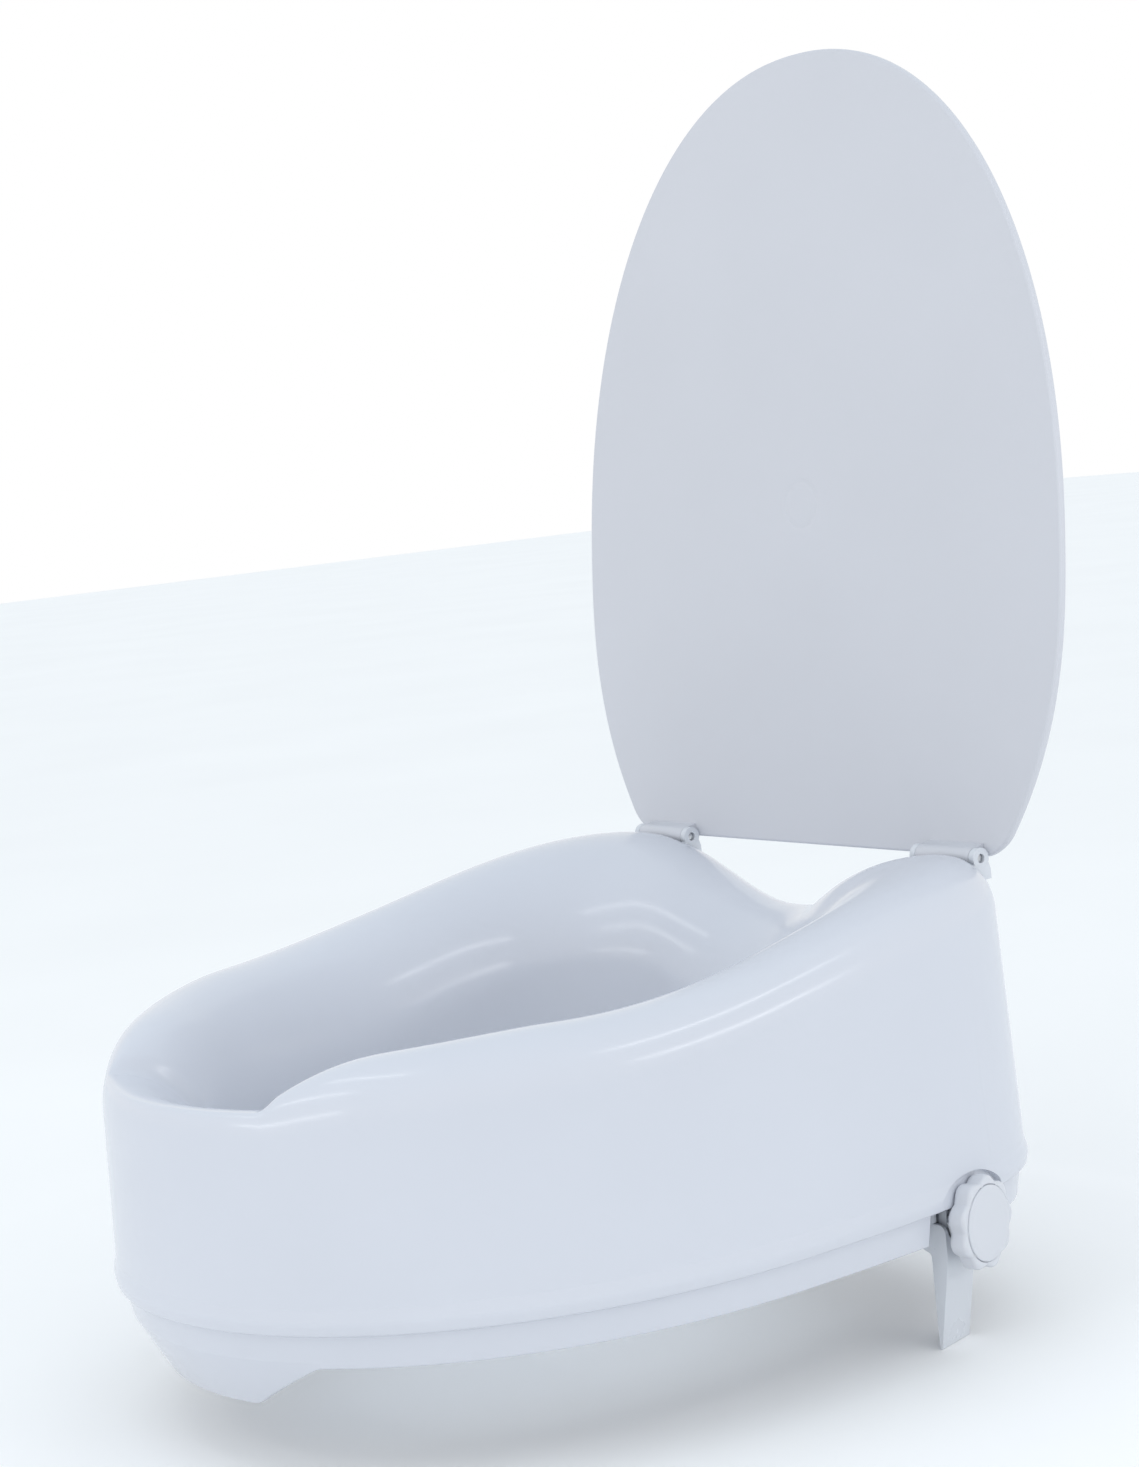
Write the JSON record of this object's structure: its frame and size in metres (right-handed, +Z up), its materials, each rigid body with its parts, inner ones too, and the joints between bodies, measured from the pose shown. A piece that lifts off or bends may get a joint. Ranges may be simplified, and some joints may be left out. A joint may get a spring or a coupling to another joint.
{
  "type": "raised toilet seat",
  "caption": "Raised toilet seat with a contoured, funnel-shaped seat ring, a hinged lid, a front locating tab and knob-driven clamping brackets.",
  "frame": {"origin": "centre of the seat's plan, on the plane where the pads under the seat rest on the rim of the bowl", "axes": "+X to the right as seen from in front, the seat's short way across; -Y to the front; +Z up, the direction of the raised lid"},
  "size_m": [0.3638, 0.4325, 0.5979],
  "materials": {
    "seat_plastic": "glossy moulded white with a cool tint",
    "lid_plastic": "satin moulded white sheet",
    "knob_plastic": "satin moulded white",
    "fitting_plastic": "satin moulded white",
    "steel": "zinc-plated",
    "brass": "plain",
    "pad_rubber": "matt"
  },
  "bodies": {
    "seat": {"seat_body": "seat_plastic", "hinge_block_left": "fitting_plastic", "hinge_block_right": "fitting_plastic", "hinge_pin_left": "steel", "hinge_pin_right": "steel", "hinge_screw_inner_left": "steel", "hinge_screw_inner_right": "steel", "hinge_screw_outer_left": "steel", "hinge_screw_outer_right": "steel", "guide_block_left": "fitting_plastic", "guide_block_right": "fitting_plastic", "guide_screw_front_left": "steel", "guide_screw_front_right": "steel", "guide_screw_rear_left": "steel", "guide_screw_rear_right": "steel", "rim_pad_front_left": "pad_rubber", "rim_pad_front_right": "pad_rubber", "rim_pad_rear_left": "pad_rubber", "rim_pad_rear_right": "pad_rubber"},
    "lid": {"lid": "lid_plastic"},
    "bracket_left": {"bracket_left": "fitting_plastic", "captive_nut_left": "brass"},
    "knob_left": {"knob_left": "knob_plastic", "knob_cap_left": "knob_plastic", "stud_left": "steel", "retaining_collar_left": "steel", "thrust_washer_left": "steel"},
    "bracket_right": {"bracket_right": "fitting_plastic", "captive_nut_right": "brass"},
    "knob_right": {"knob_right": "knob_plastic", "knob_cap_right": "knob_plastic", "stud_right": "steel", "retaining_collar_right": "steel", "thrust_washer_right": "steel"}
  },
  "joints": [
    {"name": "lid_hinge", "type": "hinge", "parent": "seat", "child": "lid", "pos_m": [0, 0.18175, 0.156], "axis": [1, 0, 0], "range_deg": [0, 97.8]},
    {"name": "knob_left_turn", "type": "hinge", "parent": "seat", "child": "knob_left", "pos_m": [-0.17077, 0.11708, 0.006], "axis": [-0.9703, 0.2419, 0], "range_deg": [0, 8640]},
    {"name": "bracket_left_slide", "type": "slide", "parent": "seat", "child": "bracket_left", "axis": [0.9703, -0.2419, 0], "range_m": [0, 0.03]},
    {"name": "knob_right_turn", "type": "hinge", "parent": "seat", "child": "knob_right", "pos_m": [0.17077, 0.11708, 0.006], "axis": [0.9703, 0.2419, 0], "range_deg": [0, 8640]},
    {"name": "bracket_right_slide", "type": "slide", "parent": "seat", "child": "bracket_right", "axis": [-0.9703, -0.2419, 0], "range_m": [0, 0.03]}
  ],
  "couplings": [
    {"joint": "knob_left_turn", "follows": "bracket_left_slide", "rad_per_m": 5026.5},
    {"joint": "knob_right_turn", "follows": "bracket_right_slide", "rad_per_m": 5026.5}
  ]
}
